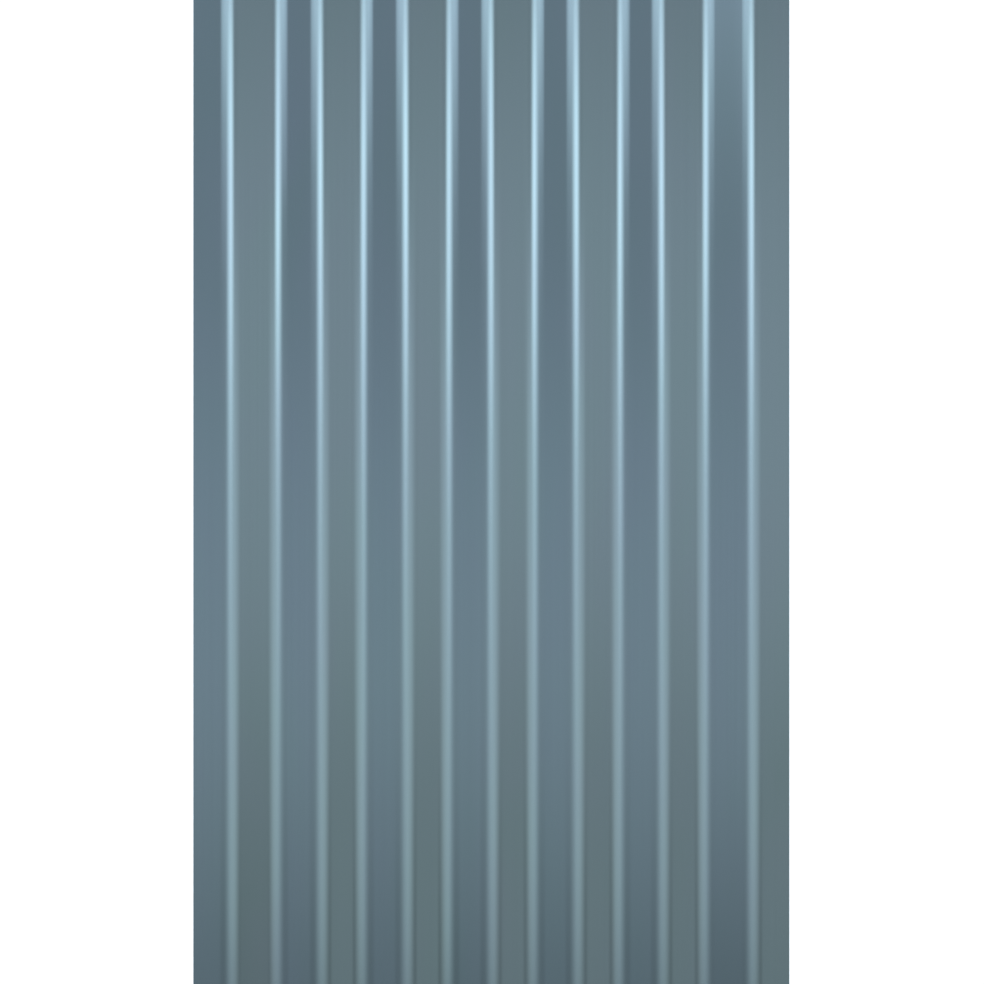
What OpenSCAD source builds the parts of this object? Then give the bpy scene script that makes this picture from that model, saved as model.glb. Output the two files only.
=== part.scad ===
// Corrugated steel sheet: one length of thin zinc-coated steel, rolled into round corrugations.
// It lies flat with its corrugations along Y, its troughs on z = 0 and its origin under its middle.
// Each bend is a true arc, and a straight flank joins it smoothly to the next bend.

/* [Sheet] */
// Length along the corrugations
sheet_length = 2000; // [600:10:6000]
// Thickness of the steel
sheet_thickness = 0.5; // [0.3:0.05:1.2]
// Distance from each outermost crest to the side edge beyond it
edge_reach = 34; // [12:1:60]

/* [Corrugations] */
// Number of crests
crest_count = 7; // [3:1:13]
// Distance from one crest to the next
pitch = 76; // [60:1:100]
// Height of a crest above a trough, measured on one face
depth = 16; // [12:0.5:24]
// Radius of the bends, at the middle of the steel's thickness
bend_radius = 22; // [12:0.5:24]
// Distance from each outermost crest to the troughs beside it
outer_half_pitch = 42; // [34:0.5:50]

/* [Hidden] */
$fn = 180;
half_thickness = sheet_thickness / 2;
// Half waves on each side of the middle that have the plain pitch
inner_half_waves = crest_count - 2;
sheet_width = inner_half_waves * pitch + 2 * outer_half_pitch + 2 * edge_reach;
// Bends drawn on each side of the middle, the last of them past the side edge
bends_each_side = crest_count + 2;
// The narrowest half wave has room for bends up to this radius, with a short flank between them
narrowest_half_wave = min(pitch / 2, outer_half_pitch);
widest_bend = 0.99 * (pow(narrowest_half_wave, 2) + pow(depth, 2)) / (4 * depth);
bend = min(bend_radius, widest_bend);
// Each flank is set this far into the bends that it joins, so that plane and round cross cleanly
flank_bite = 0.005;
// Levels down to which the spaces under the sheet's two faces are drawn, clear of every round
upper_face_floor = -3 * bend;
lower_face_floor = -4 * bend;

// Bends are numbered outward from the middle one, 0, and crests and troughs take turns
function is_crest(i) = (abs(i) + crest_count) % 2 == 1;
function up(i) = is_crest(i) ? 1 : -1;
function bend_x(i) = sign(i) * (min(abs(i), inner_half_waves) * pitch / 2
    + max(abs(i) - inner_half_waves, 0) * outer_half_pitch);
function bend_z(i) = is_crest(i) ? half_thickness + depth - bend : half_thickness + bend;
// Radius of a bend on the face that lies at a given height above the middle of the thickness
function bend_r(i, face) = bend + up(i) * face;
// Slope of the flank that joins a crest to a trough a half wave away
function flank_angle(half_wave) =
    let (drop = 2 * bend - depth, reach = 2 * (bend - flank_bite))
    atan2(reach, sqrt(pow(half_wave, 2) + pow(drop, 2) - pow(reach, 2))) - atan2(drop, half_wave);
// Where the flank on one side of a bend ends, on that face
function flank_end(i, side, face) =
    let (
        angle = flank_angle(abs(bend_x(i + side) - bend_x(i))),
        radius = bend_r(i, face) - flank_bite
    )
    [bend_x(i) + side * radius * sin(angle), bend_z(i) + up(i) * radius * cos(angle)];

// The full rounds of all crests, or of all troughs, on one face
module bend_rounds(crests, face)
    for (i = [-bends_each_side : bends_each_side])
        if (is_crest(i) == crests)
            translate([bend_x(i), bend_z(i), 0])
                cylinder(h = sheet_length, r = bend_r(i, face), center = true);

// All the space under one face of the sheet down to a floor, flank to flank
module flanked_space(face, floor_z)
    linear_extrude(height = sheet_length, center = true)
        polygon([
            [bend_x(-bends_each_side), floor_z],
            for (i = [-bends_each_side : bends_each_side - 1])
                each [flank_end(i, 1, face), flank_end(i + 1, -1, face)],
            [bend_x(bends_each_side), floor_z]
        ]);

// The same space with its crests and troughs rounded
module space_under(face, floor_z)
    difference() {
        union() {
            flanked_space(face, floor_z);
            bend_rounds(true, face);
        }
        bend_rounds(false, face);
    }

module corrugated_sheet()
    color([0.59, 0.67, 0.71])
        rotate([90, 0, 0])
            intersection() {
                difference() {
                    space_under(half_thickness, upper_face_floor);
                    space_under(-half_thickness, lower_face_floor);
                }
                cube([sheet_width, -2 * lower_face_floor, sheet_length], center = true);
            }

corrugated_sheet();
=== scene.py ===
"""The looks of a corrugated sheet of zinc-coated steel, seen from straight above in a soft studio."""

import math

import bmesh
import bpy
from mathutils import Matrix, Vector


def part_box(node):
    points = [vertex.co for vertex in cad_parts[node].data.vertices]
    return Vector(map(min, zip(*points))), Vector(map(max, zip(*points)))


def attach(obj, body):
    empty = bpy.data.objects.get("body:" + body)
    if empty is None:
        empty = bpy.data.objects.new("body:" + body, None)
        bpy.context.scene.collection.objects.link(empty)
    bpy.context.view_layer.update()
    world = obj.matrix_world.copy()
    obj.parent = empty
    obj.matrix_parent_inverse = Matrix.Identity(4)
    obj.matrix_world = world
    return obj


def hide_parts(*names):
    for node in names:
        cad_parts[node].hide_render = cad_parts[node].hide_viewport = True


NODE = "corrugated_sheet"
MM = 0.001

# ---- The sheet, as the part's source has it ----
THICKNESS = 0.5 * MM
PITCH = 76 * MM
OUTER_HALF_PITCH = 42 * MM
CREST_COUNT = 7
BEND_RADIUS = 22 * MM  # at the middle of the thickness

# ---- How finely the sheet is meshed ----
HALF_BEND_STEPS = 18  # from the top of a bend to where its flank starts
FLANK_STEPS = 4
ROWS = 20  # along the length
EDGE_BEVEL = 0.07 * MM  # how round shearing and handling leave the cut edges
SHARP_ANGLE = math.radians(12)
COATED, CUT = 0, 1  # places of the two materials on the mesh

# ---- The zinc coating; noise is in waves a metre along X, Y and Z ----
CLOUD_WAVES = (14, 5, 14)
CLOUD_COLOURS = ((0.53, 0.78, 0.90), (0.55, 0.77, 0.93))
CLOUD_ROUGHNESS = (0.13, 0.17)
ROLL_LINE_WAVES = (420, 1.6, 420)
ROLL_LINE_COLOUR = (0.40, 0.56, 0.65)
ROLL_LINE_SHARE = 0.06  # how much of that colour shows at most
ROLL_LINE_ROUGHNESS = (-0.01, 0.01)  # what the lines add
ROLL_LINE_HEIGHT = 0.004 * MM

# ---- The sheared edges ----
TEAR_WAVES = (2500, 2500, 6000)
TEAR_COLOURS = ((0.42, 0.44, 0.46), (0.25, 0.26, 0.28))  # rubbed bright, and torn dull
TEAR_ROUGHNESS = (0.3, 0.55)
TEAR_HEIGHT = 0.02 * MM

# ---- Floor ----
FLOOR_REACH = 30.0
FLOOR_WHITE = 0.9
FLOOR_ROUGHNESS = 0.9
FLOOR_GLOW = 0.8

# ---- Camera ----
CAMERA_HEIGHT = 2.2  # above the floor
CAMERA_ASIDE = 0.6 * MM  # towards +X from over the sheet's middle
VIEW_SPAN = 879 * MM  # what the view takes in at floor level
SENSOR_WIDTH = 36.0  # in the camera's own millimetres

# ---- Light, on a dome round the sheet; all angles in degrees, from straight overhead ----
STUDIO_GREY = 0.122  # the whole dome
CEILING_GREY = 0.099  # what the dome gets besides, but for its dim end towards -Y
CEILING_END = (-13.5, -4)  # towards +Y, where that fades in
# Each soft lamp: its middle towards +X and +Y, its half widths and its softness across and along,
# and its brightness
LAMPS = (
    # The bright lines that the bends show, strongest towards +Y
    ((-5, 8.7), (11, 4), (10, 3.5), 0.66),
    ((4, 7.2), (9, 3), (8, 4), 0.42),
    ((-6, 2), (10, 5), (9, 4.5), 0.12),
    ((7, -3.5), (22, 8.5), (19, 2.75), 0.25),
    # The fans beside those lines at the +Y end
    ((-33, 15), (14, 5), (7, 4), 0.41),
    ((-22, 15), (14, 5), (12, 4), 0.25),
    # The flanks, in the middle of the length and then towards -Y
    ((-65, -3), (45, 5.5), (12, 3.9), 0.06),
    ((70, 2.8), (45, 7.3), (15, 4.8), 0.082),
    ((-90, -14), (38, 6), (10, 2.4), 0.03),
    ((90, -14), (42, 6), (10, 2.4), 0.08),
    # For views from lower down, which are all that see these in the metal
    ((0, 45), (35, 17), (30, 9), 0.45),
    ((0, -45), (35, 17), (30, 9), 0.45),
)
# How the dome is tinted, towards -X and then towards +X: on its -Y half and on its +Y half
LOW_TINTS = ((0.98, 1.0, 1.01), (1.0, 1.0, 0.94))
HIGH_TINTS = ((0.97, 1.0, 1.05), (1.0, 1.0, 0.99))
TINT_ACROSS = (-60, 40)  # angles between which the one turns into the other
TINT_ALONG = (-8, 2)

# ---- Shader nodes ----
NOISE_LOW, NOISE_HIGH = 0.3, 0.7  # where nearly all of a noise lies
MIX_FIRST, MIX_SECOND, MIX_COLOUR = 6, 7, 2  # a Mix node's sockets for colours

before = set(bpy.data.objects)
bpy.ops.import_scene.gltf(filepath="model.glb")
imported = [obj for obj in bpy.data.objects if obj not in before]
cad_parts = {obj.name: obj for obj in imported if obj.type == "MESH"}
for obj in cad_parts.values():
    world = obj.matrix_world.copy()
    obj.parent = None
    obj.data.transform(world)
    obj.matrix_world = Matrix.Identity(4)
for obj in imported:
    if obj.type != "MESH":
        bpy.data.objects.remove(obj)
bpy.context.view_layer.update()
sheet_low, sheet_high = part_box(NODE)


# ---------------------------------------------------------------- the shape


def bends():
    """The x of each crest (+1) and trough (-1), from just past one side edge to just past the other."""
    x = 0.0
    half = []
    for number in range(CREST_COUNT + 1):
        half.append((x, 1 if (number + CREST_COUNT) % 2 else -1))
        x += PITCH / 2 if number < CREST_COUNT - 2 else OUTER_HALF_PITCH
    return [(-x, up) for x, up in half[:0:-1]] + half


def flank_tilt(half_wave, depth):
    """How steep the straight flank is that joins a crest to a trough a half wave away."""
    drop = 2 * BEND_RADIUS - depth
    reach = 2 * BEND_RADIUS
    flank = math.sqrt(half_wave**2 + drop**2 - reach**2)
    return math.atan2(reach, flank) - math.atan2(drop, half_wave)


def half_wave_points(x0, x1, up, depth):
    """The steel's middle line from one bend to the next: x, height over mid-depth, and tilt to +X."""
    tilt = flank_tilt(x1 - x0, depth)
    bend_run = BEND_RADIUS * math.sin(tilt)
    bend_drop = BEND_RADIUS * (1 - math.cos(tilt))
    flank_run = x1 - x0 - 2 * bend_run
    points = []
    for step in range(HALF_BEND_STEPS):
        turn = tilt * step / HALF_BEND_STEPS
        drop = BEND_RADIUS * (1 - math.cos(turn))
        points.append((x0 + BEND_RADIUS * math.sin(turn), up * (depth / 2 - drop), up * turn))
    for step in range(FLANK_STEPS + 1):
        run = flank_run * step / FLANK_STEPS
        drop = bend_drop + run * math.tan(tilt)
        points.append((x0 + bend_run + run, up * (depth / 2 - drop), up * tilt))
    for step in range(HALF_BEND_STEPS - 1, 0, -1):
        turn = tilt * step / HALF_BEND_STEPS
        rise = BEND_RADIUS * (1 - math.cos(turn))
        points.append((x1 - BEND_RADIUS * math.sin(turn), up * (rise - depth / 2), up * turn))
    return points


def between(start, end, x):
    """The point at x on the straight line from start to end."""
    share = (x - start[0]) / (end[0] - start[0])
    return tuple(a + (b - a) * share for a, b in zip(start, end))


def middle_line():
    """The steel's middle line from side edge to side edge."""
    depth = sheet_high.z - sheet_low.z - THICKNESS
    mid_height = (sheet_low.z + sheet_high.z) / 2
    places = bends()
    line = []
    for (x0, up), (x1, _) in zip(places, places[1:]):
        line += [(x, mid_height + z, tilt) for x, z, tilt in half_wave_points(x0, x1, up, depth)]
    inside = [p for p in line if sheet_low.x < p[0] < sheet_high.x]
    before = max(p for p in line if p[0] <= sheet_low.x)
    after = min(p for p in line if p[0] >= sheet_high.x)
    first = between(before, inside[0], sheet_low.x)
    last = between(inside[-1], after, sheet_high.x)
    return [first] + inside + [last]


def face_line(line, offset):
    """One face of the steel, offset from its middle line, with its two ends slid onto the side edges."""
    points = [(x + offset * math.sin(tilt), z + offset * math.cos(tilt)) for x, z, tilt in line]
    for end, edge in ((0, sheet_low.x), (-1, sheet_high.x)):
        x, z = points[end]
        points[end] = (edge, z - (edge - x) * math.tan(line[end][2]))
    return points


def bevel_cut_edges(bm):
    """Rounds the corners of the cut edges a little."""
    corners = [e for e in bm.edges if len({f.material_index for f in e.link_faces}) == 2]
    bmesh.ops.bevel(
        bm, geom=corners, offset=EDGE_BEVEL, segments=2, profile=0.5, affect="EDGES", material=CUT
    )
    for vertex in bm.verts:
        vertex.co.x = min(max(vertex.co.x, sheet_low.x), sheet_high.x)


def build_sheet():
    """One closed solid: its top and bottom faces wear the coating, and its four cut edges are bare."""
    line = middle_line()
    outline = face_line(line, THICKNESS / 2) + face_line(line, -THICKNESS / 2)[::-1]
    count = len(outline)
    bm = bmesh.new()
    rings = []
    for row in range(ROWS + 1):
        y = sheet_low.y + (sheet_high.y - sheet_low.y) * row / ROWS
        rings.append([bm.verts.new((x, y, z)) for x, z in outline])
    for ring, after in zip(rings, rings[1:]):
        for k in range(count):
            following = (k + 1) % count
            face = bm.faces.new((ring[k], after[k], after[following], ring[following]))
            face.material_index = CUT if k in (count // 2 - 1, count - 1) else COATED
    for ring in (rings[0], rings[-1]):
        for k in range(count // 2 - 1):
            face = bm.faces.new((ring[k], ring[k + 1], ring[count - 2 - k], ring[count - 1 - k]))
            face.material_index = CUT
    bmesh.ops.recalc_face_normals(bm, faces=bm.faces)
    bevel_cut_edges(bm)
    for face in bm.faces:
        face.smooth = True
    for edge in bm.edges:
        edge.smooth = edge.calc_face_angle(0) < SHARP_ANGLE
    mesh = bpy.data.meshes.new("sheet")
    bm.to_mesh(mesh)
    bm.free()
    sheet = bpy.data.objects.new("sheet", mesh)
    bpy.context.scene.collection.objects.link(sheet)
    return sheet


# ------------------------------------------------------------ the materials


def new_material(name):
    """A material, its node tree and its Principled shader."""
    material = bpy.data.materials.new(name)
    material.use_nodes = True
    return material, material.node_tree, material.node_tree.nodes["Principled BSDF"]


def calculate(tree, operation, *values):
    """The result of a sum on values, each a number or another node's output."""
    node = tree.nodes.new("ShaderNodeMath")
    node.operation = operation
    for socket, value in zip(node.inputs, values):
        if isinstance(value, bpy.types.NodeSocket):
            tree.links.new(value, socket)
        else:
            socket.default_value = value
    return node.outputs["Value"]


def noise(tree, where, stretch, detail=2.0, distortion=0.0):
    """Noise over the sheet, with so many waves a metre along X, Y and Z."""
    mapping = tree.nodes.new("ShaderNodeMapping")
    mapping.inputs["Scale"].default_value = stretch
    tree.links.new(where, mapping.inputs["Vector"])
    pattern = tree.nodes.new("ShaderNodeTexNoise")
    pattern.inputs["Scale"].default_value = 1.0
    pattern.inputs["Detail"].default_value = detail
    pattern.inputs["Distortion"].default_value = distortion
    tree.links.new(mapping.outputs["Vector"], pattern.inputs["Vector"])
    return pattern.outputs["Fac"]


def spread(tree, value, low, high):
    """Noise, which keeps near its middle, brought to between low and high."""
    node = tree.nodes.new("ShaderNodeMapRange")
    node.inputs["From Min"].default_value = NOISE_LOW
    node.inputs["From Max"].default_value = NOISE_HIGH
    node.inputs["To Min"].default_value = low
    node.inputs["To Max"].default_value = high
    tree.links.new(value, node.inputs["Value"])
    return node.outputs["Result"]


def blend_colours(tree, share, first, second):
    """first where share is 0, and second where it is 1."""
    node = tree.nodes.new("ShaderNodeMix")
    node.data_type = "RGBA"
    tree.links.new(share, node.inputs["Factor"])
    for socket, colour in ((node.inputs[MIX_FIRST], first), (node.inputs[MIX_SECOND], second)):
        if isinstance(colour, tuple):
            socket.default_value = (*colour, 1)
        else:
            tree.links.new(colour, socket)
    return node.outputs[MIX_COLOUR]


def bump(tree, height, distance):
    """The normal of a surface that rises by distance metres where height is 1."""
    node = tree.nodes.new("ShaderNodeBump")
    node.inputs["Strength"].default_value = 1.0
    node.inputs["Distance"].default_value = distance
    tree.links.new(height, node.inputs["Height"])
    return node.outputs["Normal"]


def coated_steel():
    """Satin zinc coating: blue-grey with a faint cloud, and fine lines from the rolls."""
    material, tree, shader = new_material("zinc_coating")
    where = tree.nodes.new("ShaderNodeTexCoord").outputs["Object"]
    cloud = noise(tree, where, CLOUD_WAVES, detail=3.0, distortion=0.4)
    roll_lines = noise(tree, where, ROLL_LINE_WAVES, detail=3.0)
    hue = blend_colours(tree, spread(tree, cloud, 0.0, 1.0), *CLOUD_COLOURS)
    line_share = spread(tree, roll_lines, 0.0, ROLL_LINE_SHARE)
    tree.links.new(blend_colours(tree, line_share, hue, ROLL_LINE_COLOUR), shader.inputs["Base Color"])
    shader.inputs["Metallic"].default_value = 1.0
    cloud_roughness = spread(tree, cloud, *CLOUD_ROUGHNESS)
    line_roughness = spread(tree, roll_lines, *ROLL_LINE_ROUGHNESS)
    tree.links.new(calculate(tree, "ADD", cloud_roughness, line_roughness), shader.inputs["Roughness"])
    tree.links.new(bump(tree, roll_lines, ROLL_LINE_HEIGHT), shader.inputs["Normal"])
    return material


def bare_cut_steel():
    """Sheared edge: bare steel, brighter where the blade rubbed it, and dull where it tore."""
    material, tree, shader = new_material("bare_cut_steel")
    where = tree.nodes.new("ShaderNodeTexCoord").outputs["Object"]
    tearing = noise(tree, where, TEAR_WAVES, detail=4.0)
    colour = blend_colours(tree, spread(tree, tearing, 0.0, 1.0), *TEAR_COLOURS)
    tree.links.new(colour, shader.inputs["Base Color"])
    shader.inputs["Metallic"].default_value = 1.0
    tree.links.new(spread(tree, tearing, *TEAR_ROUGHNESS), shader.inputs["Roughness"])
    tree.links.new(bump(tree, tearing, TEAR_HEIGHT), shader.inputs["Normal"])
    return material


def pale_floor():
    """A white floor that glows a little too, so that it stays white beside the metal."""
    material, tree, shader = new_material("pale_floor")
    shader.inputs["Base Color"].default_value = (FLOOR_WHITE, FLOOR_WHITE, FLOOR_WHITE, 1)
    shader.inputs["Roughness"].default_value = FLOOR_ROUGHNESS
    shader.inputs["Emission Color"].default_value = (1, 1, 1, 1)
    shader.inputs["Emission Strength"].default_value = FLOOR_GLOW
    return material


# ---------------------------------------------------------------- the studio


def fade(tree, value, dark, light, brightness):
    """brightness where value is at light, falling smoothly to nothing where it is at dark."""
    node = tree.nodes.new("ShaderNodeMapRange")
    node.interpolation_type = "SMOOTHSTEP"
    node.inputs["From Min"].default_value = dark
    node.inputs["From Max"].default_value = light
    node.inputs["To Min"].default_value = 0.0
    node.inputs["To Max"].default_value = brightness
    tree.links.new(value, node.inputs["Value"])
    return node.outputs["Result"]


def lamp_light(tree, angles, lamp):
    """What one soft lamp gives in the direction that lies at these angles towards +X and +Y."""
    middles, half_widths, softnesses, light = lamp
    for angle, middle, half_width, softness in zip(angles, middles, half_widths, softnesses):
        aside = calculate(tree, "ABSOLUTE", calculate(tree, "SUBTRACT", angle, math.radians(middle)))
        dark_from = math.radians(half_width + softness)
        light_to = math.radians(half_width - softness)
        light = calculate(tree, "MULTIPLY", fade(tree, aside, dark_from, light_to, 1.0), light)
    return light


def dome_tint(tree, across, along):
    """The dome's faint tint: bluer towards -X, and less blue towards -Y."""
    left, right = map(math.radians, TINT_ACROSS)
    back, front = map(math.radians, TINT_ALONG)
    rightward = fade(tree, across, left, right, 1.0)
    forward = fade(tree, along, back, front, 1.0)
    low = blend_colours(tree, rightward, *LOW_TINTS)
    high = blend_colours(tree, rightward, *HIGH_TINTS)
    return blend_colours(tree, forward, low, high)


def add_studio():
    """A grey dome with soft lamps on it, all as light from far away."""
    world = bpy.data.worlds.new("studio")
    bpy.context.scene.world = world
    world.use_nodes = True
    tree = world.node_tree
    direction = tree.nodes.new("ShaderNodeSeparateXYZ")
    tree.links.new(tree.nodes.new("ShaderNodeTexCoord").outputs["Generated"], direction.inputs["Vector"])
    across = calculate(tree, "ARCTAN2", direction.outputs["X"], direction.outputs["Z"])
    along = calculate(tree, "ARCSINE", direction.outputs["Y"])
    dark, light = map(math.radians, CEILING_END)
    total = fade(tree, along, dark, light, CEILING_GREY)
    for lamp in LAMPS:
        total = calculate(tree, "ADD", total, lamp_light(tree, (across, along), lamp))
    background = tree.nodes["Background"]
    tree.links.new(dome_tint(tree, across, along), background.inputs["Color"])
    tree.links.new(calculate(tree, "ADD", total, STUDIO_GREY), background.inputs["Strength"])


def add_floor():
    """A flat floor under the sheet, far wider than it."""
    mesh = bpy.data.meshes.new("floor")
    signs = ((-1, -1), (1, -1), (1, 1), (-1, 1))
    corners = [(x * FLOOR_REACH, y * FLOOR_REACH, sheet_low.z) for x, y in signs]
    mesh.from_pydata(corners, [], [(0, 1, 2, 3)])
    mesh.materials.append(pale_floor())
    ground = bpy.data.objects.new("floor", mesh)
    bpy.context.scene.collection.objects.link(ground)


def add_camera():
    """Straight above, with the top of the picture towards +Y."""
    data = bpy.data.cameras.new("camera")
    data.sensor_width = SENSOR_WIDTH
    data.lens = data.sensor_width * CAMERA_HEIGHT / VIEW_SPAN
    view = bpy.data.objects.new("camera", data)
    view.location = (CAMERA_ASIDE, 0, sheet_low.z + CAMERA_HEIGHT)
    bpy.context.scene.collection.objects.link(view)
    bpy.context.scene.camera = view


bpy.context.scene.view_settings.view_transform = "Standard"
add_camera()
add_floor()
add_studio()

sheet = build_sheet()
sheet.data.materials.append(coated_steel())
sheet.data.materials.append(bare_cut_steel())
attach(sheet, "root")
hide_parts(NODE)
